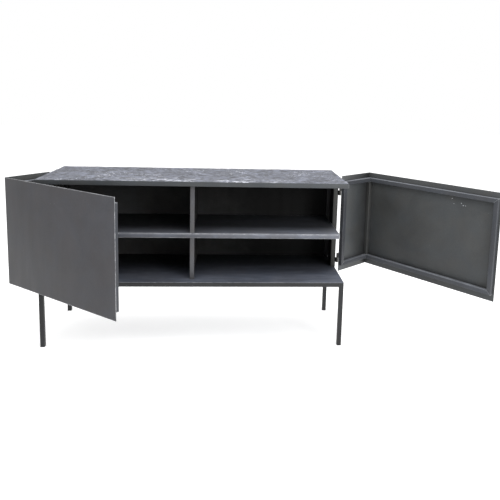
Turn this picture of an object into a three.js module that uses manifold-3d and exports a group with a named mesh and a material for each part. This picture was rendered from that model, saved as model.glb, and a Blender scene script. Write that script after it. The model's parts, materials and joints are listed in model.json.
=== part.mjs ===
// A long, low steel sideboard on four thin legs. The carcass is a welded frame of square tube with
// sheet panels. Each door is L-shaped: half of the front and the forward half of one side in one
// piece, so it wraps round the corner, and it turns on weld-on barrel hinges at mid-depth of the
// side. Millimetres, +Z up, +X to the right and -Y to the front. The origin is on the floor, midway
// between the four legs. Sizes of the doors are those of the closed doors, and each door is then
// turned open about its hinge axis.
import * as THREE from 'three';
import { mergeVertices } from 'three/addons/utils/BufferGeometryUtils.js';
import Module from 'manifold-3d';

// Overall size
const WIDTH = 1400;
const DEPTH = 430;
const HEIGHT = 780;
const FRONT = -DEPTH / 2;
const REAR = DEPTH / 2;
const GAP = 0.3; // weld gap between neighbouring pieces

// Stock
const TUBE = 20;
const HALF_TUBE = TUBE / 2;
const TUBE_WALL = 2;
const TUBE_CORNER = 1.8; // outer corner radius of the tube
const TUBE_CORNER_STEPS = 2;
const TOP_SHEET = 3;
const FLOOR_SHEET = 1.5;
const SHELF_SHEET = 2.5;
const PANEL_SHEET = 2;

// Top and base
const TOP_UNDERSIDE = HEIGHT - TOP_SHEET - GAP - TUBE;
const BASE_HALF = 697; // half the width of the base, which is slightly narrower than the top
const BASE_TOP = 310.5;
const BASE_RAIL_TOP = BASE_TOP - FLOOR_SHEET - GAP;
const FOOT_THICKNESS = 2; // plate that closes the bottom of a leg

// Uprights and fixed panels
const SIDE_OUTER = 699; // outer face of the fixed side panels
const POST_OUTER = SIDE_OUTER - PANEL_SHEET - GAP;
const BACK_INNER = REAR - PANEL_SHEET - GAP;
const PANEL_LOW = BASE_TOP + GAP;
const PANEL_HIGH = TOP_UNDERSIDE - GAP;

// Shelf and divider
const SHELF_TOP = 531;
const SHELF_FRONT = -175;
const SHELF_HALF = POST_OUTER - TUBE - GAP;
const SHELF_RAIL_TOP = SHELF_TOP - SHELF_SHEET - GAP;
const DIVIDER_X = -12; // the divider stands a little left of the middle

// Doors, as closed
const SKIN_INNER_X = 701.3;
const SKIN_OUTER_X = SKIN_INNER_X + PANEL_SHEET;
const SKIN_INNER_Y = FRONT - 1.3;
const SKIN_OUTER_Y = SKIN_INNER_Y - PANEL_SHEET;
const SKIN_BOTTOM = 290;
const SKIN_FREE_X = 1.75; // half of the slit between the two closed doors
const FRAME_BOTTOM = 322;
const FRAME_TOP = TOP_UNDERSIDE - 2;
const FRAME_FREE_INSET = 7; // the frame stops short of the skin at the free end

// Hinges
const PIN_X = SKIN_OUTER_X + 4.5;
const PIN_Y = 11;
const DOOR_CLEARANCE = 3; // from the hinge axis forward to the door
const POST_CLEARANCE = 4; // from the hinge axis back to the hinge post
const BARREL_RADIUS = 5;
const BARREL_BORE = 3.3;
const BARREL_HEIGHT = 24;
const PIN_RADIUS = 3;
const PIN_LENGTH = 46;
const WELD_FOOT = 7; // width of the foot that joins a barrel to the steel beside it
const HINGE_HEIGHTS = [['upper', 706], ['lower', 360]];
const ARC_STEPS = 24;

// How far each door stands open
const LEFT_OPEN = THREE.MathUtils.degToRad(36);
const RIGHT_OPEN = THREE.MathUtils.degToRad(128.8);

const SIDES = [['left', -1], ['right', 1]];
const SQUARE = [0, 0]; // a tube end with no mitre

const FINISHES = {
  top: { color: 0x6f7278, roughness: 0.5, metalness: 0.55 },
  carcass: { color: 0x3c3e40, roughness: 0.55, metalness: 0.4 },
  inside: { color: 0x1c1c1d, roughness: 0.7, metalness: 0.2 },
  door: { color: 0x4b4d50, roughness: 0.6, metalness: 0.35 },
  hinge: { color: 0x35332f, roughness: 0.5, metalness: 0.6 },
};

const wasm = await Module();
wasm.setup();

// ---- shapes --------------------------------------------------------------------------------

function addMesh(parent, name, geometry, finish, position) {
  const mesh = new THREE.Mesh(geometry, new THREE.MeshStandardMaterial(FINISHES[finish]));
  mesh.name = name;
  mesh.position.set(...position);
  parent.add(mesh);
}

// A flat sheet between two opposite corners, given in any order along each axis.
function addSheet(parent, name, cornerA, cornerB, finish) {
  const size = cornerA.map((value, axis) => Math.abs(value - cornerB[axis]));
  const centre = cornerA.map((value, axis) => (value + cornerB[axis]) / 2);
  addMesh(parent, name, new THREE.BoxGeometry(...size), finish, centre);
}

// The outline of the tube's section: a square with round corners, centred on the tube's axis.
function tubeOutline() {
  const flat = HALF_TUBE - TUBE_CORNER;
  const outline = new THREE.Shape();
  outline.absarc(flat, flat, TUBE_CORNER, 0, Math.PI / 2);
  outline.absarc(-flat, flat, TUBE_CORNER, Math.PI / 2, Math.PI);
  outline.absarc(-flat, -flat, TUBE_CORNER, Math.PI, 1.5 * Math.PI);
  outline.absarc(flat, -flat, TUBE_CORNER, 1.5 * Math.PI, 2 * Math.PI);
  return outline;
}

function boreCorners() {
  const half = HALF_TUBE - TUBE_WALL;
  return [[-half, -half], [half, -half], [half, half], [-half, half]].map((xy) => new THREE.Vector2(...xy));
}

function extrude(shape, depth, curveSegments) {
  return new THREE.ExtrudeGeometry(shape, { depth, curveSegments, bevelEnabled: false });
}

// A square tube along Z from 0 to length, the distance between its ends on its centre line. Each
// end's mitre says which side of the tube is longest there: [1, 0] is a 45 degree cut that is
// longest on the +X side, and [0, -1] one that is longest on the -Y side.
function tubeGeometry(length, startMitre, endMitre) {
  const section = tubeOutline();
  section.holes.push(new THREE.Path(boreCorners()));
  const geometry = extrude(section, length, TUBE_CORNER_STEPS);
  const points = geometry.getAttribute('position');
  for (let i = 0; i < points.count; i += 1) {
    const atStart = points.getZ(i) < length / 2;
    const mitre = atStart ? startMitre : endMitre;
    const extra = mitre[0] * points.getX(i) + mitre[1] * points.getY(i);
    points.setZ(i, points.getZ(i) + (atStart ? -extra : extra));
  }
  geometry.computeVertexNormals();
  return geometry;
}

// Tubes along one row axis, placed by their centre line. The mitres are those of the low and the
// high end, each towards the other two axes: [Y, Z] along X, [X, Z] along Y, and [X, Y] along Z.
function addTubeX(parent, name, [x0, x1], y, z, finish, low = SQUARE, high = SQUARE) {
  const geometry = tubeGeometry(x1 - x0, low, high);
  geometry.applyMatrix4(new THREE.Matrix4().set(0, 0, 1, 0, 1, 0, 0, 0, 0, 1, 0, 0, 0, 0, 0, 1));
  addMesh(parent, name, geometry, finish, [x0, y, z]);
}

function addTubeY(parent, name, [y0, y1], x, z, finish, low = SQUARE, high = SQUARE) {
  const geometry = tubeGeometry(y1 - y0, low.toReversed(), high.toReversed());
  geometry.applyMatrix4(new THREE.Matrix4().set(0, 1, 0, 0, 0, 0, 1, 0, 1, 0, 0, 0, 0, 0, 0, 1));
  addMesh(parent, name, geometry, finish, [x, y0, z]);
}

function addTubeZ(parent, name, [z0, z1], x, y, finish, low = SQUARE, high = SQUARE) {
  addMesh(parent, name, tubeGeometry(z1 - z0, low, high), finish, [x, y, z0]);
}

// A mitred rectangle of tube in a horizontal plane, between its outer faces.
function addRectangle(prefix, halfWidth, front, rear, top) {
  const z = top - HALF_TUBE;
  const x = halfWidth - HALF_TUBE;
  const [yFront, yRear] = [front + HALF_TUBE, rear - HALF_TUBE];
  const along = [-x + GAP, x - GAP];
  const across = [yFront + GAP, yRear - GAP];
  addTubeX(sideboard, `${prefix}_rail_front`, along, yFront, z, 'carcass', [-1, 0], [-1, 0]);
  addTubeX(sideboard, `${prefix}_rail_rear`, along, yRear, z, 'carcass', [1, 0], [1, 0]);
  for (const [side, sign] of SIDES) {
    addTubeY(sideboard, `${prefix}_rail_${side}`, across, sign * x, z, 'carcass', [sign, 0], [sign, 0]);
  }
}

function toSolid(geometry) {
  const bare = geometry.clone();
  bare.deleteAttribute('normal');
  bare.deleteAttribute('uv');
  const merged = mergeVertices(bare);
  const vertProperties = Float32Array.from(merged.getAttribute('position').array);
  const triVerts = Uint32Array.from(merged.getIndex().array);
  return new wasm.Manifold(new wasm.Mesh({ numProp: 3, vertProperties, triVerts }));
}

function toGeometry(solid) {
  const mesh = solid.getMesh();
  const geometry = new THREE.BufferGeometry();
  geometry.setAttribute('position', new THREE.BufferAttribute(mesh.vertProperties, 3));
  geometry.setIndex(new THREE.BufferAttribute(mesh.triVerts, 1));
  geometry.computeVertexNormals();
  return geometry;
}

// ---- carcass -------------------------------------------------------------------------------

function addTop() {
  const half = WIDTH / 2;
  addSheet(sideboard, 'top_sheet', [-half, FRONT, HEIGHT - TOP_SHEET], [half, REAR, HEIGHT], 'top');
  addRectangle('top', half, FRONT, REAR, HEIGHT - TOP_SHEET - GAP);
}

// A leg is a square tube with a plate welded into its foot and ground flush.
function legGeometry() {
  const outer = extrude(tubeOutline(), BASE_RAIL_TOP, TUBE_CORNER_STEPS);
  const bore = extrude(new THREE.Shape(boreCorners()), BASE_RAIL_TOP, 1);
  bore.translate(0, 0, FOOT_THICKNESS);
  return toGeometry(toSolid(outer).subtract(toSolid(bore)));
}

function addLegs() {
  for (const [side, sign] of SIDES) {
    const x = sign * (BASE_HALF - HALF_TUBE);
    addMesh(sideboard, `leg_front_${side}`, legGeometry(), 'carcass', [x, FRONT + HALF_TUBE, 0]);
    addMesh(sideboard, `leg_rear_${side}`, legGeometry(), 'carcass', [x, REAR - HALF_TUBE, 0]);
  }
}

// The base rails run between the legs, which pass up through the corners to the base sheet.
function addBase() {
  const z = BASE_RAIL_TOP - HALF_TUBE;
  const endX = BASE_HALF - TUBE - GAP;
  const endY = REAR - TUBE - GAP;
  addTubeX(sideboard, 'base_rail_front', [-endX, endX], FRONT + HALF_TUBE, z, 'carcass');
  addTubeX(sideboard, 'base_rail_rear', [-endX, endX], REAR - HALF_TUBE, z, 'carcass');
  for (const [side, sign] of SIDES) {
    addTubeY(sideboard, `base_rail_${side}`, [-endY, endY], sign * (BASE_HALF - HALF_TUBE), z, 'carcass');
  }
  const low = [-BASE_HALF, FRONT, BASE_TOP - FLOOR_SHEET];
  addSheet(sideboard, 'base_sheet', low, [BASE_HALF, REAR, BASE_TOP], 'carcass');
}

function addUprightsAndPanels() {
  const postFront = PIN_Y + POST_CLEARANCE;
  const height = [PANEL_LOW, PANEL_HIGH];
  for (const [side, sign] of SIDES) {
    const x = sign * (POST_OUTER - HALF_TUBE);
    addTubeZ(sideboard, `hinge_post_${side}`, height, x, postFront + HALF_TUBE, 'carcass');
    addTubeZ(sideboard, `rear_post_${side}`, height, x, BACK_INNER - HALF_TUBE, 'carcass');
    const inner = [sign * (SIDE_OUTER - PANEL_SHEET), postFront, PANEL_LOW];
    addSheet(sideboard, `side_panel_${side}`, inner, [sign * SIDE_OUTER, BACK_INNER, PANEL_HIGH], 'carcass');
  }
  const low = [-SIDE_OUTER, REAR - PANEL_SHEET, PANEL_LOW];
  addSheet(sideboard, 'back_panel', low, [SIDE_OUTER, REAR, PANEL_HIGH], 'inside');
}

// The shelf is a sheet on a mitred frame, set back so that the closed door frames clear it.
function addShelf() {
  const low = [-SHELF_HALF, SHELF_FRONT, SHELF_TOP - SHELF_SHEET];
  addSheet(sideboard, 'shelf_sheet', low, [SHELF_HALF, BACK_INNER, SHELF_TOP], 'carcass');
  addRectangle('shelf', SHELF_HALF, SHELF_FRONT, BACK_INNER, SHELF_RAIL_TOP);
}

// A divider sheet from the post back to the back panel. It rises between the rails above it to
// railTop, and its rear corner is cut away round the rear rail.
function dividerSheetGeometry(low, railBottom, railTop, railFront) {
  const front = SHELF_FRONT + TUBE + GAP;
  const outline = new THREE.Shape();
  outline.moveTo(front, low);
  outline.lineTo(BACK_INNER, low);
  outline.lineTo(BACK_INNER, railBottom - GAP);
  outline.lineTo(railFront - GAP, railBottom - GAP);
  outline.lineTo(railFront - GAP, railTop);
  outline.lineTo(front, railTop);
  outline.closePath();
  const geometry = extrude(outline, PANEL_SHEET, 1);
  geometry.applyMatrix4(new THREE.Matrix4().set(0, 0, 1, 0, 1, 0, 0, 0, 0, 1, 0, 0, 0, 0, 0, 1));
  return geometry;
}

function addDivider() {
  const y = SHELF_FRONT + HALF_TUBE;
  const sheetX = DIVIDER_X - PANEL_SHEET / 2;
  const topSheetUnderside = HEIGHT - TOP_SHEET - GAP;
  const shelfRailBottom = SHELF_RAIL_TOP - TUBE;
  const shelfRailFront = BACK_INNER - TUBE;
  const upperLow = SHELF_TOP + GAP;
  addTubeZ(sideboard, 'divider_post_upper', [upperLow, topSheetUnderside], DIVIDER_X, y, 'carcass');
  addTubeZ(sideboard, 'divider_post_lower', [PANEL_LOW, shelfRailBottom - GAP], DIVIDER_X, y, 'carcass');
  const upper = dividerSheetGeometry(upperLow, TOP_UNDERSIDE, topSheetUnderside, REAR - TUBE);
  addMesh(sideboard, 'divider_panel_upper', upper, 'inside', [sheetX, 0, 0]);
  const lower = dividerSheetGeometry(PANEL_LOW, shelfRailBottom, SHELF_RAIL_TOP, shelfRailFront);
  addMesh(sideboard, 'divider_panel_lower', lower, 'inside', [sheetX, 0, 0]);
}

// ---- hinges --------------------------------------------------------------------------------

// A barrel's section: a bored circle that broadens into a foot on a flat face beside it. The face
// is at x = -standOff from the hinge axis, and the foot covers it from y = -near to y = -far.
// mirrorX and mirrorY turn the section to the other side of the axis.
function barrelSection(standOff, near, far, mirrorX, mirrorY) {
  const nearPoint = new THREE.Vector2(-standOff, -near);
  const farPoint = new THREE.Vector2(-standOff, -far);
  const tangentAngle = (point, turn) => point.angle() + turn * Math.acos(BARREL_RADIUS / point.length());
  const first = tangentAngle(farPoint, 1) - 2 * Math.PI;
  const last = tangentAngle(nearPoint, -1);
  const points = [nearPoint, farPoint];
  for (let i = 0; i <= ARC_STEPS; i += 1) {
    const angle = THREE.MathUtils.lerp(first, last, i / ARC_STEPS);
    points.push(new THREE.Vector2(BARREL_RADIUS * Math.cos(angle), BARREL_RADIUS * Math.sin(angle)));
  }
  const section = new THREE.Shape(points.map((point) => new THREE.Vector2(mirrorX * point.x, mirrorY * point.y)));
  const bore = new THREE.Path();
  bore.absarc(0, 0, BARREL_BORE, 0, 2 * Math.PI);
  section.holes.push(bore);
  return section;
}

// The fixed half of each hinge is the lower barrel, welded beside the post, with the pin in it.
function addFixedHinges(side, sign) {
  const standOff = PIN_X - SIDE_OUTER - GAP;
  const section = barrelSection(standOff, POST_CLEARANCE, POST_CLEARANCE + WELD_FOOT, sign, -1);
  for (const [level, z] of HINGE_HEIGHTS) {
    const name = `hinge_${side}_${level}`;
    const barrel = extrude(section, BARREL_HEIGHT - GAP, ARC_STEPS / 2);
    addMesh(sideboard, `${name}_barrel`, barrel, 'hinge', [sign * PIN_X, PIN_Y, z - BARREL_HEIGHT]);
    const pin = new THREE.CylinderGeometry(PIN_RADIUS, PIN_RADIUS, PIN_LENGTH, ARC_STEPS);
    pin.rotateX(Math.PI / 2);
    addMesh(sideboard, `${name}_pin`, pin, 'hinge', [sign * PIN_X, PIN_Y, z]);
  }
}

function addDoorBarrels(door, name, sign) {
  const standOff = PIN_X - SKIN_OUTER_X - GAP;
  const section = barrelSection(standOff, DOOR_CLEARANCE, DOOR_CLEARANCE + WELD_FOOT, sign, 1);
  for (const [level, z] of HINGE_HEIGHTS) {
    const barrel = extrude(section, BARREL_HEIGHT, ARC_STEPS / 2);
    addMesh(door, `${name}_${level}_barrel`, barrel, 'hinge', [0, 0, z]);
  }
}

// ---- doors ---------------------------------------------------------------------------------

// Everything in a door is placed from the hinge axis, as for the closed door.
function addDoorSkins(door, name, sign) {
  const freeX = sign * (SKIN_FREE_X - PIN_X);
  const innerX = sign * (SKIN_INNER_X - PIN_X);
  const outerX = sign * (SKIN_OUTER_X - PIN_X);
  const innerY = SKIN_INNER_Y - PIN_Y;
  const frontCorner = [freeX, SKIN_OUTER_Y - PIN_Y, SKIN_BOTTOM];
  addSheet(door, `${name}_front_skin`, frontCorner, [outerX, innerY, HEIGHT], 'door');
  const sideCorner = [innerX, innerY + GAP, SKIN_BOTTOM];
  addSheet(door, `${name}_side_skin`, sideCorner, [outerX, -DOOR_CLEARANCE, HEIGHT], 'door');
}

// The rails meet in mitres in plan at the corner, and meet the end stiles in mitres in elevation.
function addDoorFrame(door, name, sign) {
  const cornerX = sign * (SKIN_INNER_X - GAP - HALF_TUBE - PIN_X);
  const freeX = sign * (SKIN_FREE_X + FRAME_FREE_INSET + HALF_TUBE - PIN_X);
  const frontY = SKIN_INNER_Y + GAP + HALF_TUBE - PIN_Y;
  const hingeY = -DOOR_CLEARANCE - HALF_TUBE;
  const bottomZ = FRAME_BOTTOM + HALF_TUBE;
  const topZ = FRAME_TOP - HALF_TUBE;
  const frontRun = [freeX + sign * GAP, cornerX - sign * GAP].sort((a, b) => a - b);
  const sideRun = [frontY + GAP, hingeY - GAP];
  for (const [level, z, up] of [['top', topZ, 1], ['bottom', bottomZ, -1]]) {
    const frontMitres = sign > 0 ? [[0, up], [-1, 0]] : [[-1, 0], [0, up]];
    addTubeX(door, `${name}_front_rail_${level}`, frontRun, frontY, z, 'door', ...frontMitres);
    addTubeY(door, `${name}_side_rail_${level}`, sideRun, cornerX, z, 'door', [sign, 0], [0, up]);
  }
  const height = [bottomZ + GAP, topZ - GAP];
  addTubeZ(door, `${name}_free_stile`, height, freeX, frontY, 'door', [-sign, 0], [-sign, 0]);
  addTubeZ(door, `${name}_hinge_stile`, height, cornerX, hingeY, 'door', [0, 1], [0, 1]);
  const cornerHeight = [bottomZ + HALF_TUBE + GAP, topZ - HALF_TUBE - GAP];
  addTubeZ(door, `${name}_corner_stile`, cornerHeight, cornerX, frontY, 'door');
}

function addDoor(side, sign, turn) {
  const name = `door_${side}`;
  const door = new THREE.Group();
  door.position.set(sign * PIN_X, PIN_Y, 0);
  door.rotation.z = turn;
  sideboard.add(door);
  addDoorSkins(door, name, sign);
  addDoorFrame(door, name, sign);
  addDoorBarrels(door, name, sign);
  addFixedHinges(side, sign);
}

const sideboard = new THREE.Group();
addTop();
addLegs();
addBase();
addUprightsAndPanels();
addShelf();
addDivider();
addDoor('left', -1, -LEFT_OPEN);
addDoor('right', 1, RIGHT_OPEN);

export default sideboard;
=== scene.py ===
"""Looks for a long, low welded-steel sideboard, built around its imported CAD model.

Metres, +Z up, -Y to the front. The doors stand open at rest: what belongs to a door is made as for
the closed door and then turned with it about its hinge axis.
"""
import json
import math
import random

import bmesh
import bpy
from mathutils import Matrix, Vector, noise


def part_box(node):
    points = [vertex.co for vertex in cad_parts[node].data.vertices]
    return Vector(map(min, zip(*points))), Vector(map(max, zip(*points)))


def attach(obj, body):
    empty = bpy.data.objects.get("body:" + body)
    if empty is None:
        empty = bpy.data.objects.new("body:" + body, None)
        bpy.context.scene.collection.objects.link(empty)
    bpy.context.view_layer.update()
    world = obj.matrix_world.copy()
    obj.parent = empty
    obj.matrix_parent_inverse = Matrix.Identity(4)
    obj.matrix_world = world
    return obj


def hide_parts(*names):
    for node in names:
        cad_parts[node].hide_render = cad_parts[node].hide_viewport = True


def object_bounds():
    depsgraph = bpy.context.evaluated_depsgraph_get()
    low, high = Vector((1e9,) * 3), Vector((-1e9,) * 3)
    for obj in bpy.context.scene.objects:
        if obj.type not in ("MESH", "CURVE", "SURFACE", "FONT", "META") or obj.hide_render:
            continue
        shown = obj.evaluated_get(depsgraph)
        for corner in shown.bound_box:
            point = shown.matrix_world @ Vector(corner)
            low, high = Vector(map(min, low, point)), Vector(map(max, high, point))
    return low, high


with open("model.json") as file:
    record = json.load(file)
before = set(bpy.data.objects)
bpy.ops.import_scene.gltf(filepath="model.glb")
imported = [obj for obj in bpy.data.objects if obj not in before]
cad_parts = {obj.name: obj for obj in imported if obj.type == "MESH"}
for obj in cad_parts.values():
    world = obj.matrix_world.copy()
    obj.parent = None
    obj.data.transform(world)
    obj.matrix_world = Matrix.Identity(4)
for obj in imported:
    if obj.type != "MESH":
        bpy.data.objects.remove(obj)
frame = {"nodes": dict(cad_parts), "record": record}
cad_box = [list(corner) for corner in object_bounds()]
NODES = frame["nodes"]
MM = 0.001
HEIGHT = cad_box[1][2]
SIDES = (("left", -1), ("right", 1))
LEVELS = ("upper", "lower")
LEFT = (-1, 0, 0)
RIGHT = (1, 0, 0)
BACK = (0, 1, 0)
UP = (0, 0, 1)

# ---- camera and light -------------------------------------------------------------------------

CAMERA_PLACE = Vector((0.1587, -2.5622, 1.1791))
CAMERA_YAW = 0.0664  # radians, to the right of straight ahead
CAMERA_PITCH = 0.1379  # radians, below the horizon
CAMERA_ROLL = 0.0256  # radians
SENSOR = 36.0  # millimetres
LENS_IN_WIDTHS = 1.0590  # focal length in sensor widths
SHIFT = (-0.0305, -0.1670)  # in sensor widths
WORLD_STRENGTH = 1.0
AREA_LIGHTS = (  # name, place, target, size, power in watts
    ("overhead", (0.2, -0.1, 2.9), (0, 0, 0.7), (3.2, 2.0), 60),
    ("front_right", (2.2, -2.8, 1.7), (0.2, 0, 0.45), (1.4, 1.4), 60),
)


def add_camera():
    data = bpy.data.cameras.new("camera")
    data.sensor_width = SENSOR
    data.lens = LENS_IN_WIDTHS * SENSOR
    data.shift_x, data.shift_y = SHIFT
    forward = Vector((
        math.sin(CAMERA_YAW) * math.cos(CAMERA_PITCH),
        math.cos(CAMERA_YAW) * math.cos(CAMERA_PITCH),
        -math.sin(CAMERA_PITCH),
    ))
    level = Vector((math.cos(CAMERA_YAW), -math.sin(CAMERA_YAW), 0))
    upright = level.cross(forward)
    right = level * math.cos(CAMERA_ROLL) + upright * math.sin(CAMERA_ROLL)
    up = upright * math.cos(CAMERA_ROLL) - level * math.sin(CAMERA_ROLL)
    turn = Matrix((right, up, -forward)).transposed().to_4x4()
    camera = bpy.data.objects.new("camera", data)
    camera.matrix_world = Matrix.Translation(CAMERA_PLACE) @ turn
    bpy.context.scene.collection.objects.link(camera)
    bpy.context.scene.camera = camera


def add_area_light(name, place, target, size, power):
    data = bpy.data.lights.new(name, "AREA")
    data.shape = "RECTANGLE"
    data.size, data.size_y = size
    data.energy = power
    light = bpy.data.objects.new(name, data)
    light.location = place
    light.rotation_euler = (Vector(target) - Vector(place)).to_track_quat("-Z", "Y").to_euler()
    bpy.context.scene.collection.objects.link(light)


def add_lights():
    world = bpy.data.worlds.new("studio")
    world.use_nodes = True
    background = world.node_tree.nodes["Background"]
    background.inputs["Color"].default_value = solid(WHITE)
    background.inputs["Strength"].default_value = WORLD_STRENGTH
    bpy.context.scene.world = world
    for light in AREA_LIGHTS:
        add_area_light(*light)
    bpy.context.scene.view_settings.view_transform = "Standard"


# ---- colours ----------------------------------------------------------------------------------

WHITE = (1.0, 1.0, 1.0)
# rubbed steel, also used as a painted highlight along edges
BARE_STEEL = (1.0, 1.02, 1.06)
BURNT = (0.022, 0.022, 0.019)
LEG_GREY = (0.021, 0.0215, 0.0225)
TOP_RAIL_GREY = (0.046, 0.050, 0.053)
POST_GREY = (0.072, 0.072, 0.076)
HINGE_POST_GREY = (0.028, 0.028, 0.026)
# painted light: SHELF_GREY and BASE_GREY are lighter copies of the carcass paint
SHELF_GREY = (0.116, 0.122, 0.140)
BASE_GREY = (0.066, 0.073, 0.092)
RUB_BRIGHT = (0.20, 0.22, 0.27)
DOOR_GREY = (0.052, 0.052, 0.057)
PANEL_GREY = (0.048, 0.051, 0.052)
RAIL_GREY = (0.042, 0.045, 0.051)
# painted highlight on the rails' top faces
RAIL_HIGHLIGHT = (0.20, 0.21, 0.235)
# painted shade for the corner stiles in the door's corner
CORNER_GREY = (0.033, 0.034, 0.033)
# near-black seam paint: painted shadow lines along the door seams
SEAM_SHADOW_GREY = (0.010, 0.010, 0.010)
SPATTER_GREY = (0.55, 0.56, 0.58)
# near-black paint inside the cabinet: painted shade
INSIDE_PAINTED_SHADE = (0.0060, 0.0060, 0.0060)
HINGE_STEEL = (0.045, 0.043, 0.040)
HINGE_BRIGHT = (0.28, 0.27, 0.26)
TOP_GREY = (0.072, 0.078, 0.101)
# white of the top's rubbed crests and of its painted glints
TOP_BRIGHT = (0.72, 0.74, 0.82)
SLAB_EDGE = (0.086, 0.093, 0.102)


def shade(colour, factor):
    return tuple(channel * factor for channel in colour)


def solid(colour):
    return (*colour, 1.0)


# ---- shaders ----------------------------------------------------------------------------------

FLAT_COSINE = 0.995  # between the true and the rounded normal, where a face counts as flat
EDGE_COSINE = 0.90  # and where it counts as an edge
BEVEL_SAMPLES = 6
MIX_FACTOR, MIX_A, MIX_B, MIX_RESULT = 0, 6, 7, 2  # the places of a mix node's colour sockets


class Shader:
    """A node material in the making, textured in the metres of the shared frame."""

    def __init__(self, name):
        self.material = bpy.data.materials.new(name)
        self.material.use_nodes = True
        self.tree = self.material.node_tree
        self.surface = self.tree.nodes["Principled BSDF"]
        self.place = self.tree.nodes.new("ShaderNodeTexCoord").outputs["Object"]

    def feed(self, node, inputs):
        """Links each input to another node's output, or sets it to a constant."""
        for socket, value in inputs.items():
            if isinstance(value, bpy.types.NodeSocket):
                self.tree.links.new(value, node.inputs[socket])
            else:
                node.inputs[socket].default_value = value

    def node(self, kind, inputs, **settings):
        made = self.tree.nodes.new(kind)
        for name, value in settings.items():
            setattr(made, name, value)
        self.feed(made, inputs)
        return made

    def finish(self, inputs):
        """Feeds the surface, and gives the finished material."""
        self.feed(self.surface, inputs)
        return self.material

    def normal(self):
        return self.node("ShaderNodeNewGeometry", {}).outputs["Normal"]

    def stretched(self, scale):
        return self.node("ShaderNodeMapping", {"Vector": self.place, "Scale": scale}).outputs["Vector"]

    def dot(self, vector, other):
        made = self.node("ShaderNodeVectorMath", {0: vector, 1: other}, operation="DOT_PRODUCT")
        return made.outputs["Value"]

    def distance(self, point):
        made = self.node("ShaderNodeVectorMath", {0: self.place, 1: point}, operation="DISTANCE")
        return made.outputs["Value"]

    def noise(self, scale, detail=4.0, roughness=0.55, distortion=0.0, place=None):
        inputs = {"Vector": place or self.place, "Scale": scale, "Detail": detail}
        inputs.update({"Roughness": roughness, "Distortion": distortion})
        return self.node("ShaderNodeTexNoise", inputs).outputs["Fac"]

    def cells(self, scale, feature="F1", place=None):
        inputs = {"Vector": place or self.place, "Scale": scale}
        return self.node("ShaderNodeTexVoronoi", inputs, feature=feature).outputs["Distance"]

    def ramp(self, factor, stops, colours):
        made = self.node("ShaderNodeValToRGB", {"Fac": factor})
        for element, stop, colour in zip(made.color_ramp.elements, stops, colours):
            element.position = stop
            element.color = solid(colour)
        return made.outputs["Color"]

    def tones(self, factor, stops, colour, low, high):
        """Tones of one colour, from low to high times its brightness."""
        return self.ramp(factor, stops, (shade(colour, low), shade(colour, high)))

    def span(self, value, low, high, to_low=0.0, to_high=1.0):
        inputs = {"Value": value, "From Min": low, "From Max": high, "To Min": to_low, "To Max": to_high}
        return self.node("ShaderNodeMapRange", inputs).outputs["Result"]

    def maths(self, operation, a, b):
        made = self.node("ShaderNodeMath", {0: a, 1: b}, operation=operation, use_clamp=True)
        return made.outputs["Value"]

    def sum_of(self, value, factor, addend):
        """value x factor + addend"""
        made = self.node("ShaderNodeMath", {0: value, 1: factor, 2: addend}, operation="MULTIPLY_ADD")
        return made.outputs["Value"]

    def mix(self, factor, a, b, blend="MIX"):
        inputs = {MIX_FACTOR: factor, MIX_A: a, MIX_B: b}
        made = self.node("ShaderNodeMix", inputs, data_type="RGBA", blend_type=blend)
        return made.outputs[MIX_RESULT]

    def edges(self, radius):
        """1 on sharp edges, within about radius of them, and 0 on flat faces."""
        bevel = self.node("ShaderNodeBevel", {"Radius": radius}, samples=BEVEL_SAMPLES)
        return self.span(self.dot(bevel.outputs["Normal"], self.normal()), FLAT_COSINE, EDGE_COSINE)

    def bump(self, *layers):
        """The normal of layers of (height, distance in metres), the coarsest first."""
        normal = None
        for height, distance in layers:
            inputs = {"Height": height, "Distance": distance, "Strength": 1.0}
            if normal is not None:
                inputs["Normal"] = normal
            normal = self.node("ShaderNodeBump", inputs).outputs["Normal"]
        return normal


# ---- marks on paint ---------------------------------------------------------------------------
# Each of these gives a function that takes a shader and its paint and gives the marked paint.

RAGGED_SHARE = 0.3  # how uneven a drift's front is, as a share of its length


def smudges(strength):
    """Dark burnt patches, scattered."""
    def mark(shader, paint):
        burnt = shader.noise(3.2, detail=5, roughness=0.65, distortion=0.8)
        return shader.mix(shader.span(burnt, 0.50, 0.66, to_high=strength), paint, solid(BURNT))
    return mark


def stain(centre, radius, strength):
    """One dark burnt patch with a cloudy rim."""
    def mark(shader, paint):
        cloud = shader.noise(11.0, detail=5, roughness=0.6, distortion=0.8)
        away = shader.sum_of(cloud, radius, shader.distance(centre))
        burnt = shader.span(away, 1.4 * radius, 0.5 * radius, to_high=strength)
        return shader.mix(burnt, paint, solid(BURNT))
    return mark


def drift(direction, start, end, depths):
    """Painted light and shade: a change in the paint's depth along a direction, from one place to
    another, with a ragged front.
    """
    def mark(shader, paint):
        ragged = RAGGED_SHARE * (end - start)
        cloud = shader.noise(14.0, detail=5, roughness=0.65)
        along = shader.sum_of(cloud, ragged, shader.dot(shader.place, direction))
        depth = shader.span(along, start + 0.5 * ragged, end + 0.5 * ragged, *depths)
        return shader.mix(1.0, paint, depth, "MULTIPLY")
    return mark


def lit_tops(colour, strength):
    """Painted highlight: lighter on what looks upwards, where the light from above falls."""
    def mark(shader, paint):
        patchy = shader.span(shader.noise(24.0, detail=5), 0.35, 0.65, 0.6 * strength, strength)
        upward = shader.span(shader.dot(shader.normal(), UP), 0.15, 0.75)
        return shader.mix(shader.maths("MULTIPLY", upward, patchy), paint, solid(colour))
    return mark


def scuffs(colour, strength):
    """Lighter rubbed streaks that run from side to side."""
    def mark(shader, paint):
        sideways = shader.stretched((0.5, 2.2, 1.0))
        streaks = shader.noise(9.0, detail=6, roughness=0.7, distortion=0.6, place=sideways)
        return shader.mix(shader.span(streaks, 0.48, 0.66, to_high=strength), paint, solid(colour))
    return mark


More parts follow.
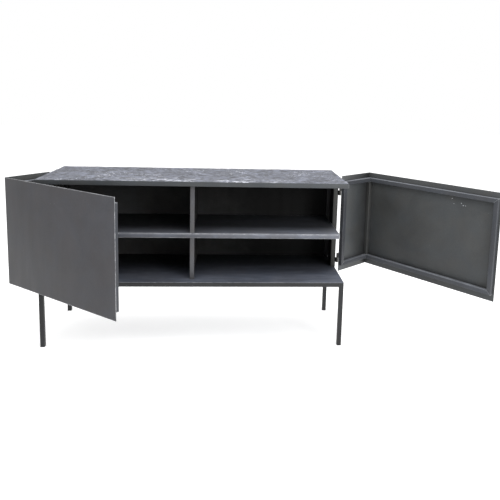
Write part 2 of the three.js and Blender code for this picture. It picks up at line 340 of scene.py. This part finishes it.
def outside(direction, colour):
    """A lighter outside: the paint is near-black, as painted shade, only on the faces that look into the
    cabinet.
    """
    def mark(shader, paint):
        facing = shader.span(shader.dot(shader.normal(), direction), 0.3, 0.7)
        lighter = shader.tones(shader.noise(9.0, detail=5), (0.35, 0.65), colour, 0.88, 1.12)
        return shader.mix(facing, paint, lighter)
    return mark


# ---- painted steel ----------------------------------------------------------------------------

LESS = 0.985  # a colour channel's change where the paint's hue turns cooler or warmer
MORE = 1.03
SHEEN_CHANGE = 0.07


def paint_coat(shader, colour, clouds, grain):
    """Paint of a slightly uneven hue and depth, with a fine grain."""
    red, green, blue = colour
    cool = (red * LESS, green, blue * MORE)
    warm = (red * MORE, green, blue * LESS)
    hue = shader.ramp(shader.noise(8.0, detail=3, distortion=1.0), (0.38, 0.62), (cool, warm))
    paint = shader.mix(1.0, hue, shader.tones(clouds, (0.3, 0.7), WHITE, 0.42, 0.58), "OVERLAY")
    return shader.mix(0.35, paint, shader.tones(grain, (0.3, 0.7), WHITE, 0.35, 0.65), "OVERLAY")


def bare_spots_and_edge_highlights(shader, rubbed, wear, reach):
    """Where the steel shows: along rubbed edges, which also carry a painted highlight, and in a few
    specks on the faces.
    """
    patchy_wear = shader.span(rubbed, 0.38, 0.62, 0.3 * wear, wear)
    edge = shader.maths("MULTIPLY", shader.edges(reach * MM), patchy_wear)
    speck = shader.span(shader.cells(55.0), 0.055, 0.03)
    chosen = shader.span(shader.noise(7.0, detail=1, distortion=1.0), 0.64, 0.68)
    speck = shader.maths("MULTIPLY", speck, chosen)
    return shader.maths("MAXIMUM", edge, shader.maths("MULTIPLY", speck, 0.5))


def painted_steel(name, colour, marks=(), worn=0.22, wear=0.6, reach=2.2, roughness=0.5, metallic=0.1):
    """Rubbed dark paint on hot-rolled sheet: faint clouds, fine grain, rubbed edges and specks; the edges
    also carry a painted highlight.

    worn is the brightness of the steel on rubbed edges, which is also a painted highlight, wear how much
    of it shows, and reach how far from an edge, in millimetres.
    """
    shader = Shader(name)
    clouds = shader.noise(5.0, detail=6, roughness=0.6, distortion=0.6)
    grain = shader.noise(260.0, detail=3, roughness=0.7)
    rubbed = shader.noise(38.0, detail=5, roughness=0.7)
    streaks = shader.noise(30.0, detail=4, place=shader.stretched((1.0, 1.0, 0.12)))
    paint = paint_coat(shader, colour, clouds, grain)
    for mark in marks:
        paint = mark(shader, paint)
    bare_and_highlit = bare_spots_and_edge_highlights(shader, rubbed, wear, reach)
    sheen = shader.mix(0.5, clouds, streaks)
    return shader.finish({
        "Base Color": shader.mix(bare_and_highlit, paint, solid(shade(BARE_STEEL, worn))),
        "Metallic": metallic,
        "Specular IOR Level": 0.25,
        "Roughness": shader.span(sheen, 0.3, 0.7, roughness - SHEEN_CHANGE, roughness + SHEEN_CHANGE),
        "Normal": shader.bump((clouds, 0.6 * MM), (rubbed, 0.12 * MM), (grain, 0.03 * MM)),
    })


# ---- the patinated top and the hinge steel ----------------------------------------------------

GLINT_FULL = 0.02  # distance from the top's front edge up to which glints are at their strongest
GLINT_END = 0.12  # and from which there are none
GLINT_MIDDLE_X = 0.12
GLINT_CORE = 0.28  # distance from their middle up to which glints are at their strongest
GLINT_SPREAD = 0.50  # and from which only a little of them is left
GLINT_LEFT = 0.15


def front_glints(shader, front):
    """Painted glints: white highlights along the front edge, in patches, strongest round their middle."""
    near_front = shader.span(shader.dot(shader.place, BACK), front + GLINT_END, front + GLINT_FULL)
    sideways = shader.stretched((0.7, 1.4, 1.0))
    spots = shader.noise(34.0, detail=5, roughness=0.7, distortion=1.2, place=sideways)
    glints = shader.maths("MULTIPLY", shader.span(spots, 0.54, 0.58), near_front)
    patches = shader.span(shader.noise(2.6, detail=1), 0.48, 0.54)
    glints = shader.maths("MULTIPLY", glints, patches)
    away = shader.distance((GLINT_MIDDLE_X, front, HEIGHT))
    return shader.maths("MULTIPLY", glints, shader.span(away, GLINT_SPREAD, GLINT_CORE, GLINT_LEFT, 1.0))


def patinated_steel(name, colour, bright, front):
    """The top: torch-crinkled sheet under satin lacquer, cloudy, with bright crests that are partly
    rubbed steel and partly painted glints.

    Painted glints make the crests brightest near y = front, and the sheet's edge is plain grey.
    """
    shader = Shader(name)
    clouds = shader.noise(11.0, detail=8, roughness=0.7, distortion=1.2)
    creases = shader.cells(42.0, "SMOOTH_F1", shader.stretched((1.0, 1.4, 1.0)))
    veins = shader.mix(0.5, creases, shader.noise(60.0, detail=5, distortion=1.2))
    flecks = shader.noise(55.0, detail=6, roughness=0.75, distortion=1.5)
    base = shader.tones(clouds, (0.38, 0.62), colour, 0.5, 1.4)
    base = shader.mix(0.9, base, shader.tones(veins, (0.28, 0.58), WHITE, 0.1, 0.85), "OVERLAY")
    gather = shader.span(shader.noise(4.0, detail=2, distortion=1.0), 0.50, 0.62, 0.12, 0.9)
    bare_and_highlit = shader.maths("MULTIPLY", shader.span(flecks, 0.57, 0.62), gather)
    bare_and_highlit = shader.maths("MAXIMUM", bare_and_highlit, front_glints(shader, front))
    face = shader.mix(bare_and_highlit, base, solid(bright))
    slab_edge = shader.tones(clouds, (0.3, 0.7), SLAB_EDGE, 0.85, 1.15)
    upward = shader.span(shader.dot(shader.normal(), UP), 0.2, 0.6)
    return shader.finish({
        "Base Color": shader.mix(upward, slab_edge, face),
        "Metallic": 0.15,
        "Specular IOR Level": 0.3,
        "Roughness": shader.span(flecks, 0.3, 0.7, 0.62, 0.36),
        "Normal": shader.bump((veins, 2.4 * MM), (flecks, 0.8 * MM)),
    })


def oiled_steel(name, colour):
    """Turned hinge steel, dark with oil, with fine rings round the axis."""
    shader = Shader(name)
    clouds = shader.noise(45.0, detail=5)
    rings = shader.noise(20.0, detail=3, place=shader.stretched((1.0, 1.0, 60.0)))
    edge = shader.maths("MULTIPLY", shader.edges(0.8 * MM), 0.7)
    base = shader.tones(clouds, (0.3, 0.7), colour, 0.7, 1.35)
    return shader.finish({
        "Base Color": shader.mix(edge, base, solid(HINGE_BRIGHT)),
        "Metallic": 0.8,
        "Roughness": shader.span(clouds, 0.3, 0.7, 0.34, 0.52),
        "Normal": shader.bump((rings, 0.05 * MM)),
    })


# ---- the floor --------------------------------------------------------------------------------

FLOOR_HALF = 14.0
FLOOR_GLOW = 0.4  # the floor shines a little, like a light table, so that shadows on it stay pale


def floor_material():
    shader = Shader("studio_floor")
    return shader.finish({
        "Base Color": shader.tones(shader.noise(3.0, detail=3), (0.35, 0.65), WHITE, 0.84, 0.88),
        "Roughness": 0.9,
        "Specular IOR Level": 0.1,
        "Emission Color": solid(WHITE),
        "Emission Strength": FLOOR_GLOW,
    })


def add_floor():
    mesh = bpy.data.meshes.new("floor")
    half = FLOOR_HALF
    corners = [(-half, -half, 0), (half, -half, 0), (half, half, 0), (-half, half, 0)]
    mesh.from_pydata(corners, [], [(0, 1, 2, 3)])
    mesh.materials.append(floor_material())
    floor = bpy.data.objects.new("floor", mesh)
    bpy.context.scene.collection.objects.link(floor)


# ---- the doors as if closed -------------------------------------------------------------------

def inner_x(box, sign):
    """The x of a box's face towards the cabinet's middle."""
    return box[0].x if sign > 0 else box[1].x


def outer_x(box, sign):
    """The x of a box's face away from the cabinet's middle."""
    return box[1].x if sign > 0 else box[0].x


class Door:
    """Measures one door as if it were closed, and turns what is made there into its rest pose."""

    def __init__(self, side, sign):
        self.sign = sign
        self.name = f"door_{side}"
        joint = next(j for j in frame["record"]["behaviour"]["joints"] if j["child"] == self.name)
        pin = Vector(joint["pos_m"])
        closing = math.radians(joint["range_deg"][0 if sign > 0 else 1])
        turn = Matrix.Rotation(-closing, 4, "Z")
        self.opened = Matrix.Translation(pin) @ turn @ Matrix.Translation(-pin)
        self.closed = self.opened.inverted()

    def at_rest(self, x, y, z):
        return self.opened @ Vector((x, y, z))

    def box(self, part):
        points = [self.closed @ vert.co for vert in NODES[f"{self.name}_{part}"].data.vertices]
        low = Vector(min(point[axis] for point in points) for axis in range(3))
        high = Vector(max(point[axis] for point in points) for axis in range(3))
        return low, high


DOORS = {side: Door(side, sign) for side, sign in SIDES}

# ---- materials --------------------------------------------------------------------------------
# Pairs of depths: the paint's brightness at the start and at the end of a drift.

# painted light and shade inside the cabinet, across it and upwards
INSIDE_SIDEWAYS = (8.5, 0.35)
INSIDE_UPWARDS = (1.6, 0.85)
INSIDE_DARK_X = 0.3  # from here to the right the inside is at its darkest
# painted light and shade on the shelf: lighter at the front and to the right, darker low on the rails
SHELF_FADE = (-0.02, 0.14)  # behind the shelf's front edge
SHELF_BACKWARDS = (1.0, 0.14)
SHELF_UPWARDS = (0.62, 1.0)
SHELF_SIDEWAYS = (0.55, 1.4)
# painted light on the base: lighter to the front and to the right
BASE_FADE_Y = (-0.12, 0.08)
BASE_BACKWARDS = (1.0, 0.24)
BASE_SIDEWAYS = (0.65, 1.15)
DOOR_UPWARDS = (0.80, 1.0)
# painted light and shade on the side skins, lighter towards the hinge
SIDE_SKIN_TO_HINGE = (0.42, 1.55)
FRONT_SKIN_TO_FREE_EDGE = (0.72, 1.04)
STAIN_INSET = 0.11  # from the door's corner
STAIN_HEIGHT = 0.66  # as a share of the skin's height
STAIN_RADIUS = 0.13
STAIN_STRENGTH = 0.45
SHELF_SCUFFS = 0.5
BASE_SCUFFS = 0.25
DOOR_SMUDGES = 0.25
RAIL_HIGHLIGHT_STRENGTH = 0.8
MATT = {"worn": 0.03, "wear": 0.2, "roughness": 0.8, "metallic": 0.0}


def inside_marks():
    """Painted light and shade: inside the cabinet the paint grows darker from left to right and from the
    floor up.
    """
    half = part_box("base_sheet")[1].x
    low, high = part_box("back_panel")
    return (
        drift(RIGHT, -half, INSIDE_DARK_X, INSIDE_SIDEWAYS),
        drift(UP, low.z, high.z, INSIDE_UPWARDS),
    )


def shelf_marks():
    """The shelf is scuffed; painted light and shade make it lighter near its front edge and to the right,
    and darker low on its rails.
    """
    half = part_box("base_sheet")[1].x
    low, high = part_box("shelf_sheet")
    fade_start, fade_end = (low.y + y for y in SHELF_FADE)
    return (
        scuffs(RUB_BRIGHT, SHELF_SCUFFS),
        drift(BACK, fade_start, fade_end, SHELF_BACKWARDS),
        drift(UP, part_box("shelf_rail_front")[0].z, high.z, SHELF_UPWARDS),
        drift(RIGHT, -half, half, SHELF_SIDEWAYS),
    )


def base_marks():
    """The base is a little scuffed; painted light makes it lighter to the front and to the right."""
    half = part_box("base_sheet")[1].x
    return (
        scuffs(RUB_BRIGHT, BASE_SCUFFS),
        drift(BACK, *BASE_FADE_Y, BASE_BACKWARDS),
        drift(RIGHT, -half, half, BASE_SIDEWAYS),
    )


def lower_door_shade():
    """Painted shade: the doors are a little darker towards the bottom."""
    low, high = DOORS["left"].box("front_skin")
    return drift(UP, low.z, high.z, DOOR_UPWARDS)


def door_drift(door, start, end, depths):
    """A drift between two places of the closed door."""
    start, end = door.at_rest(*start), door.at_rest(*end)
    along = (end - start).normalized()
    return drift(tuple(along), start.dot(along), end.dot(along), depths)


def side_skin_marks(door):
    """Painted light and shade: the side skin is lighter near the hinge, and stays dark towards the door's
    corner.
    """
    low, high = door.box("side_skin")
    x = inner_x((low, high), door.sign)
    return door_drift(door, (x, low.y, low.z), (x, high.y, low.z), SIDE_SKIN_TO_HINGE)


def front_skin_marks(door):
    """Painted shade: the front skin is a little darker near the door's corner."""
    box = door.box("front_skin")
    low = box[0]
    corner, free = outer_x(box, door.sign), inner_x(box, door.sign)
    return door_drift(door, (corner, low.y, low.z), (free, low.y, low.z), FRONT_SKIN_TO_FREE_EDGE)


def panel_stain(door):
    """The burnt patch on the front skin, beside the corner stile."""
    low, high = door.box("front_skin")
    x = outer_x((low, high), door.sign) - door.sign * STAIN_INSET
    centre = door.at_rest(x, high.y, low.z + STAIN_HEIGHT * (high.z - low.z))
    return stain(tuple(centre), STAIN_RADIUS, STAIN_STRENGTH)


def make_materials():
    left, right = DOORS["left"], DOORS["right"]
    inside = inside_marks()
    # painted shade: the doors darker towards the bottom
    low_shade = lower_door_shade()
    front_left = (low_shade, front_skin_marks(left))
    # painted highlight on the rails' top faces
    highlit_rails = (lit_tops(RAIL_HIGHLIGHT, RAIL_HIGHLIGHT_STRENGTH),)
    paints = (  # name, colour, marks and settings
        ("carcass_paint", LEG_GREY, (), {"wear": 0.45}),
        ("top_rail_paint", TOP_RAIL_GREY, (), {}),
        # inside paints: near-black painted shade on the inner faces, door grey outside
        ("back_paint", INSIDE_PAINTED_SHADE, (*inside, outside(BACK, DOOR_GREY)), MATT),
        ("panel_paint_left", INSIDE_PAINTED_SHADE, (*inside, outside(LEFT, DOOR_GREY)), MATT),
        ("panel_paint_right", INSIDE_PAINTED_SHADE, (*inside, outside(RIGHT, DOOR_GREY)), MATT),
        ("post_paint", POST_GREY, (), {}),
        ("hinge_post_paint", HINGE_POST_GREY, (), {}),
        ("shelf_paint", SHELF_GREY, shelf_marks(), {"worn": 0.42, "wear": 1.0, "reach": 4.5}),
        ("base_paint", BASE_GREY, base_marks(), {"worn": 0.32, "wear": 1.0, "reach": 2.5}),
        ("inside_paint", INSIDE_PAINTED_SHADE, inside, MATT),
        ("door_paint", DOOR_GREY, (low_shade, smudges(DOOR_SMUDGES)), {"worn": 0.34, "wear": 0.9}),
        ("front_paint_left", DOOR_GREY, front_left, {"worn": 0.5, "wear": 1.0, "reach": 4.0}),
        ("stained_paint", PANEL_GREY, (low_shade, panel_stain(right)), {"worn": 0.34, "wear": 0.9}),
        ("side_paint_left", PANEL_GREY, (side_skin_marks(left),), {"worn": 0.34}),
        ("side_paint_right", PANEL_GREY, (side_skin_marks(right),), {"worn": 0.34}),
        ("rail_paint", RAIL_GREY, highlit_rails, {"worn": 0.30, "wear": 0.9}),
        # corner stiles darker than the other stiles: painted shade in the door's corner
        ("corner_stile_paint", CORNER_GREY, (), {"worn": 0.25, "wear": 0.8}),
        ("seam_shadow_paint", SEAM_SHADOW_GREY, (), {"worn": 0.05, "wear": 0.2}),
        ("spatter_steel", SPATTER_GREY, (), {"worn": 0.8, "wear": 0.9, "metallic": 0.3}),
    )
    top_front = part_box("top_sheet")[0].y
    made = {"top_patina": patinated_steel("top_patina", TOP_GREY, TOP_BRIGHT, top_front)}
    for name, colour, marks, settings in paints:
        made[name] = painted_steel(name, colour, marks, **settings)
    made["hinge_steel"] = oiled_steel("hinge_steel", HINGE_STEEL)
    return made


MATERIALS = make_materials()
# Nodes whose paint differs from the rest of their slot: how the name begins and ends, and the paint.
SPECIAL_PAINT = (
    ("shelf_", "", "shelf_paint"),
    ("base_sheet", "", "base_paint"),
    ("top_rail_", "", "top_rail_paint"),
    ("back_panel", "", "back_paint"),
    ("side_panel_left", "", "panel_paint_left"),
    ("side_panel_right", "", "panel_paint_right"),
    ("divider_post", "", "post_paint"),
    ("hinge_post", "", "hinge_post_paint"),
    ("door_left_front_skin", "", "front_paint_left"),
    ("door_right_front_skin", "", "stained_paint"),
    ("door_left_side_skin", "", "side_paint_left"),
    ("door_right_side_skin", "", "side_paint_right"),
    ("door_", "_rail_top", "rail_paint"),
    ("door_", "_rail_bottom", "rail_paint"),
    ("door_", "_corner_stile", "corner_stile_paint"),
    ("door_", "_stile", "rail_paint"),
)


def material_for(node, slot_name):
    for start, end, material_name in SPECIAL_PAINT:
        if node.startswith(start) and node.endswith(end):
            return MATERIALS[material_name]
    return MATERIALS[slot_name]


# ---- carried-over CAD nodes -------------------------------------------------------------------

MERGE_DISTANCE = 0.02 * MM
SHEET_EDGE = 0.35 * MM  # width of the bevel that softens a sharp edge
EDGE_SEGMENTS = 2
SHARP_ANGLE = math.radians(50)
SMOOTH_ANGLE = math.radians(32)


def smooth_by_angle_group():
    """Geometry nodes that shade a mesh smooth except along its sharp edges."""
    group = bpy.data.node_groups.new("smooth_by_angle", "GeometryNodeTree")
    group.interface.new_socket("Geometry", in_out="INPUT", socket_type="NodeSocketGeometry")
    group.interface.new_socket("Geometry", in_out="OUTPUT", socket_type="NodeSocketGeometry")
    nodes, links = group.nodes, group.links
    start, end = nodes.new("NodeGroupInput"), nodes.new("NodeGroupOutput")
    clear = nodes.new("GeometryNodeRemoveAttribute")
    clear.inputs["Name"].default_value = "custom_normal"
    faces = nodes.new("GeometryNodeSetShadeSmooth")
    faces.domain = "FACE"
    sharp = nodes.new("GeometryNodeSetShadeSmooth")
    sharp.domain = "EDGE"
    sharp.inputs["Shade Smooth"].default_value = False
    angle = nodes.new("GeometryNodeInputMeshEdgeAngle")
    compare = nodes.new("FunctionNodeCompare")
    compare.operation = "GREATER_THAN"
    compare.inputs["B"].default_value = SMOOTH_ANGLE
    links.new(start.outputs[0], clear.inputs["Geometry"])
    links.new(clear.outputs["Geometry"], faces.inputs["Geometry"])
    links.new(faces.outputs["Geometry"], sharp.inputs["Geometry"])
    links.new(angle.outputs["Unsigned Angle"], compare.inputs["A"])
    links.new(compare.outputs["Result"], sharp.inputs["Selection"])
    links.new(sharp.outputs["Geometry"], end.inputs[0])
    return group


def add_smoothing(piece, group):
    modifier = piece.modifiers.new("smooth_by_angle", "NODES")
    modifier.node_group = group


def finish_nodes(group):
    """Gives each CAD node its material, and softens the sharp edges of sheets and tube ends."""
    slots = {part["node"]: part["material_slot"] for part in frame["record"]["subparts"]}
    for name, piece in NODES.items():
        piece.data.materials.clear()
        piece.data.materials.append(material_for(name, slots[name]))
        merge = piece.modifiers.new("weld", "WELD")
        merge.merge_threshold = MERGE_DISTANCE
        bevel = piece.modifiers.new("soft_edges", "BEVEL")
        bevel.width = SHEET_EDGE
        bevel.segments = EDGE_SEGMENTS
        bevel.limit_method = "ANGLE"
        bevel.angle_limit = SHARP_ANGLE
        add_smoothing(piece, group)


# ---- the crinkled top -------------------------------------------------------------------------

CRINKLE_STEP = 5 * MM
CRINKLE_DEPTH = 2.3 * MM
RIM_WIDTH = 6 * MM  # over which the wavy rim fades inwards
EDGE_WANDER = 2.0 * MM
ON_RIM = 1e-6
# Each pattern of noise: its scale along x and y, and its layer.
FOLD_PATTERN = (9, 12, 3.1)
DENT_PATTERN = (34, 40, 7.7)
RIM_PATTERN = (11, 11, 1.3)
WANDER_PATTERN = (30, 30, 5.0)
FOLD_SHAPE = (0.9, 2.1, 4, 1.0, 2.0)  # dimension, lacunarity, octaves, offset, gain
DENT_SHAPE = (0.8, 2.0, 3)  # dimension, lacunarity, octaves
FOLD_SHARE = 0.55  # shares of CRINKLE_DEPTH
DENT_SHARE = 0.22
RIM_SHARE = 0.25
WAVE_SHARE = 0.35


def add_piece(name, bm, slot_name, body, paint=None):
    """Makes a bmesh a piece that rides on a body."""
    bmesh.ops.recalc_face_normals(bm, faces=bm.faces)
    mesh = bpy.data.meshes.new(name)
    bm.to_mesh(mesh)
    bm.free()
    mesh.materials.append(MATERIALS[paint or slot_name])
    piece = bpy.data.objects.new(name, mesh)
    bpy.context.scene.collection.objects.link(piece)
    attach(piece, body)
    return piece


def in_pattern(x, y, pattern):
    scale_x, scale_y, layer = pattern
    return Vector((x * scale_x, y * scale_y, layer))


def crinkle_depth(x, y, distance_to_edge):
    """How far the crinkled sheet lies below its highest point: folds, dents and a wavy rim."""
    folds = noise.ridged_multi_fractal(in_pattern(x, y, FOLD_PATTERN), *FOLD_SHAPE)
    dents = noise.fractal(in_pattern(x, y, DENT_PATTERN), *DENT_SHAPE)
    wave = noise.noise(in_pattern(x, y, RIM_PATTERN))
    rim = math.exp(-distance_to_edge / RIM_WIDTH)
    depth = FOLD_SHARE * max(0.0, 1.0 - 0.5 * folds) + DENT_SHARE * (dents + 1.0)
    depth += rim * (RIM_SHARE + WAVE_SHARE * wave)
    return CRINKLE_DEPTH * min(1.0, max(0.0, depth))


def wander(point, low, high):
    """Draws a point of the sheet's rim inwards by an uneven amount, and leaves the rest alone."""
    pull = EDGE_WANDER * (0.5 + noise.noise(in_pattern(point.x, point.y, WANDER_PATTERN)))
    x, y = point.x, point.y
    if min(x - low.x, high.x - x) < ON_RIM:
        point.x -= math.copysign(max(0.0, pull), x)
    if min(y - low.y, high.y - y) < ON_RIM:
        point.y -= math.copysign(max(0.0, pull), y)
    return point


def crinkled_rows(bm, low, high):
    """The points of the crinkled face, row by row from the front to the rear."""
    steps_x = round((high.x - low.x) / CRINKLE_STEP)
    steps_y = round((high.y - low.y) / CRINKLE_STEP)
    rows = []
    for j in range(steps_y + 1):
        row = []
        for i in range(steps_x + 1):
            x = low.x + (high.x - low.x) * i / steps_x
            y = low.y + (high.y - low.y) * j / steps_y
            distance = min(x - low.x, high.x - x, y - low.y, high.y - y)
            point = Vector((x, y, high.z - crinkle_depth(x, y, distance)))
            row.append(bm.verts.new(wander(point, low, high)))
        rows.append(row)
    return rows


def add_crinkled_top():
    low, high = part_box("top_sheet")
    bm = bmesh.new()
    rows = crinkled_rows(bm, low, high)
    for row, behind in zip(rows, rows[1:]):
        for i in range(len(row) - 1):
            bm.faces.new((row[i], row[i + 1], behind[i + 1], behind[i]))
    right_rim = [row[-1] for row in rows[1:]]
    left_rim = [row[0] for row in rows[-2:0:-1]]
    rim = rows[0] + right_rim + rows[-1][-2::-1] + left_rim
    foot = [bm.verts.new((vert.co.x, vert.co.y, low.z)) for vert in rim]
    for i, vert in enumerate(rim):
        j = (i + 1) % len(rim)
        bm.faces.new((vert, foot[i], foot[j], rim[j]))
    bm.faces.new(foot[::-1])
    piece = add_piece("crinkled_top", bm, "top_patina", "carcass")
    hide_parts("top_sheet")
    return piece


# ---- weld beads and seams ---------------------------------------------------------------------

BEAD_SIDES = 8
BEAD_RIPPLE = 2.6 * MM  # length of one ripple along a weld bead
BEAD_TIP = 0.15  # what is left of the radius at a bead's ends
BEAD_LUMP = 0.12  # how uneven a bead's radius is
LUMP_SCALE = 140
WELD = 1.9 * MM  # radius of a rippled weld bead
WELD_RIPPLE = 0.22
SEAM = 1.1 * MM  # radius of a smoothed seam that closes a corner
# the door seams are thicker, for a wider painted shadow line
DOOR_SEAM = 1.5 * MM
SEAM_RIPPLE = 0.0
SEAM_STEP = 12 * MM  # between a seam's rings
LEAST_STEPS = 4


def add_ring(bm, centre, side, other, radius):
    turns = (2 * math.pi * k / BEAD_SIDES for k in range(BEAD_SIDES))
    return [bm.verts.new(centre + (side * math.cos(t) + other * math.sin(t)) * radius) for t in turns]


def add_bead(bm, start, end, radius, ripple):
    """A closed lumpy rod from start to end, half sunk in the corner it lies in."""
    start, end = Vector(start), Vector(end)
    along = end - start
    length = along.length
    along.normalize()
    side = along.orthogonal().normalized()
    other = along.cross(side)
    step = 0.5 * BEAD_RIPPLE if ripple else SEAM_STEP
    steps = max(LEAST_STEPS, round(length / step))
    rings = []
    for i in range(steps + 1):
        share = i / steps
        centre = start + along * length * share
        taper = math.sqrt(max(0.0, 1 - abs(2 * share - 1) ** (0.5 * length / radius)))
        lump = 1 + ripple * (0.5 if i % 2 else -0.5) + BEAD_LUMP * noise.noise(centre * LUMP_SCALE)
        reach = radius * lump * (BEAD_TIP + (1 - BEAD_TIP) * taper)
        rings.append(add_ring(bm, centre, side, other, reach))
    for low, high in zip(rings, rings[1:]):
        for k in range(BEAD_SIDES):
            m = (k + 1) % BEAD_SIDES
            bm.faces.new((low[k], low[m], high[m], high[k]))
    bm.faces.new(rings[0][::-1])
    bm.faces.new(rings[-1])


def add_beads(name, runs, radius, ripple, slot_name, body, group, turn=None, paint=None):
    bm = bmesh.new()
    for start, end in runs:
        add_bead(bm, start, end, radius, ripple)
    if turn is not None:
        bm.transform(turn)
    add_smoothing(add_piece(name, bm, slot_name, body, paint), group)


def inside_seams():
    """The smoothed corner seams inside the cabinet: round the back panel and along the side panels."""
    low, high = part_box("back_panel")
    post_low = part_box("rear_post_right")[0]
    panel_inner_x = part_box("side_panel_right")[0].x
    hinge_post_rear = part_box("hinge_post_right")[1].y
    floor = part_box("base_sheet")[1].z
    shelf_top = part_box("shelf_sheet")[1].z
    runs = [((-post_low.x, low.y, z), (post_low.x, low.y, z)) for z in (floor, high.z, shelf_top)]
    for sign in (-1, 1):
        post_x = sign * post_low.x
        panel_x = sign * panel_inner_x
        runs.append(((post_x, low.y, floor), (post_x, low.y, high.z)))
        for z in (floor, high.z):
            runs.append(((panel_x, hinge_post_rear, z), (panel_x, post_low.y, z)))
    return runs


def leg_welds():
    """Beads under the base, where each rail meets a leg."""
    runs = []
    for end in ("front", "rear"):
        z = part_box(f"base_rail_{end}")[0].z
        for side, sign in SIDES:
            low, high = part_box(f"leg_{end}_{side}")
            x = inner_x((low, high), sign)
            y = high.y if end == "front" else low.y
            runs.append(((x, low.y + WELD, z), (x, high.y - WELD, z)))
            runs.append(((low.x + WELD, y, z), (high.x - WELD, y, z)))
    return runs


def post_welds():
    """Beads at both ends of the divider's and the hinges' posts."""
    top_rail_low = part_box("top_rail_front")[0].z
    runs = []
    for name in ("divider_post_upper", "divider_post_lower", "hinge_post_left", "hinge_post_right"):
        low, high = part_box(name)
        for z in (low.z, top_rail_low if name.endswith("upper") else high.z):
            for x in (low.x, high.x):
                runs.append(((x, low.y + WELD, z), (x, high.y - WELD, z)))
    return runs


def hinge_welds(side, sign):
    """The beads that hold the fixed barrels to the side panel."""
    x = outer_x(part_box(f"side_panel_{side}"), sign)
    runs = []
    for level in LEVELS:
        low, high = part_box(f"hinge_{side}_{level}_barrel")
        runs.append(((x, high.y, low.z + WELD), (x, high.y, high.z - WELD)))
    return runs


def door_welds(door):
    """Beads at the corner stile's ends and beside the barrels."""
    low, high = door.box("corner_stile")
    x = inner_x((low, high), door.sign)
    runs = []
    for z in (low.z, high.z):
        runs.append(((low.x + WELD, high.y, z), (high.x - WELD, high.y, z)))
        runs.append(((x, low.y + WELD, z), (x, high.y - WELD, z)))
    skin_x = outer_x(door.box("side_skin"), door.sign)
    for level in LEVELS:
        low, high = door.box(f"{level}_barrel")
        runs.append(((skin_x, low.y, low.z + WELD), (skin_x, low.y, high.z - WELD)))
    return runs


def door_seams(door):
    """Smoothed seams between the frame's tubes and the skins, all round the inside, painted near-black as
    painted shadow lines.
    """
    top, bottom = door.box("front_rail_top"), door.box("front_rail_bottom")
    skin_y = door.box("front_skin")[1].y
    skin_x = inner_x(door.box("side_skin"), door.sign)
    free_x = outer_x(door.box("free_stile"), door.sign)
    hinge_y = door.box("hinge_stile")[0].y
    runs = []
    for z in (top[0].z, top[1].z, bottom[0].z, bottom[1].z):
        runs.append(((free_x, skin_y, z), (skin_x, skin_y, z)))
        runs.append(((skin_x, skin_y, z), (skin_x, hinge_y, z)))
    for x, y in ((free_x, skin_y), (skin_x, hinge_y)):
        runs.append(((x, y, bottom[1].z), (x, y, top[0].z)))
    return runs


def add_door_welds(door, group):
    name, turn = door.name, door.opened
    add_beads(f"{name}_welds", door_welds(door), WELD, WELD_RIPPLE, "door_paint", name, group, turn)
    add_beads(
        f"{name}_seams", door_seams(door), DOOR_SEAM, SEAM_RIPPLE, "door_paint", name, group, turn,
        "seam_shadow_paint")


def add_welds(group):
    frame_welds = leg_welds() + post_welds()
    add_beads("inside_seams", inside_seams(), SEAM, SEAM_RIPPLE, "inside_paint", "carcass", group)
    add_beads("frame_welds", frame_welds, WELD, WELD_RIPPLE, "carcass_paint", "carcass", group)
    for side, sign in SIDES:
        runs = hinge_welds(side, sign)
        add_beads(f"hinge_welds_{side}", runs, WELD, WELD_RIPPLE, "carcass_paint", "carcass", group)
        add_door_welds(DOORS[side], group)


# ---- weld spatter -----------------------------------------------------------------------------

SPATTER_COUNT = 5
SPATTER_REACH = (0.16, 0.25)  # from the door's free edge
SPATTER_DROP = (0.062, 0.090)  # below its top edge
SPATTER_RADIUS = (1.0 * MM, 2.0 * MM)
SPATTER_LUMP = 0.25  # how uneven a drop is
SPATTER_SCALE = 90
SPATTER_FLATNESS = 0.7


def add_spatter(door):
    """Drops of weld spatter that froze on the inside of the front skin, near its free top corner."""
    low, high = door.box("front_skin")
    free_x = inner_x((low, high), door.sign)
    bm = bmesh.new()
    for _ in range(SPATTER_COUNT):
        x = free_x + door.sign * random.uniform(*SPATTER_REACH)
        place = Vector((x, high.y, high.z - random.uniform(*SPATTER_DROP)))
        radius = random.uniform(*SPATTER_RADIUS)
        drop = bmesh.ops.create_icosphere(bm, subdivisions=2, radius=radius)["verts"]
        for vert in drop:
            vert.co *= 1 + SPATTER_LUMP * noise.noise(vert.co / radius + place * SPATTER_SCALE)
            vert.co.y *= SPATTER_FLATNESS
            vert.co += place
    bm.transform(door.opened)
    add_piece(f"{door.name}_spatter", bm, "door_paint", door.name, "spatter_steel")


def build_looks():
    group = smooth_by_angle_group()
    finish_nodes(group)
    add_smoothing(add_crinkled_top(), group)
    add_welds(group)
    add_spatter(DOORS["right"])


random.seed(1)
add_camera()
add_lights()
add_floor()
build_looks()
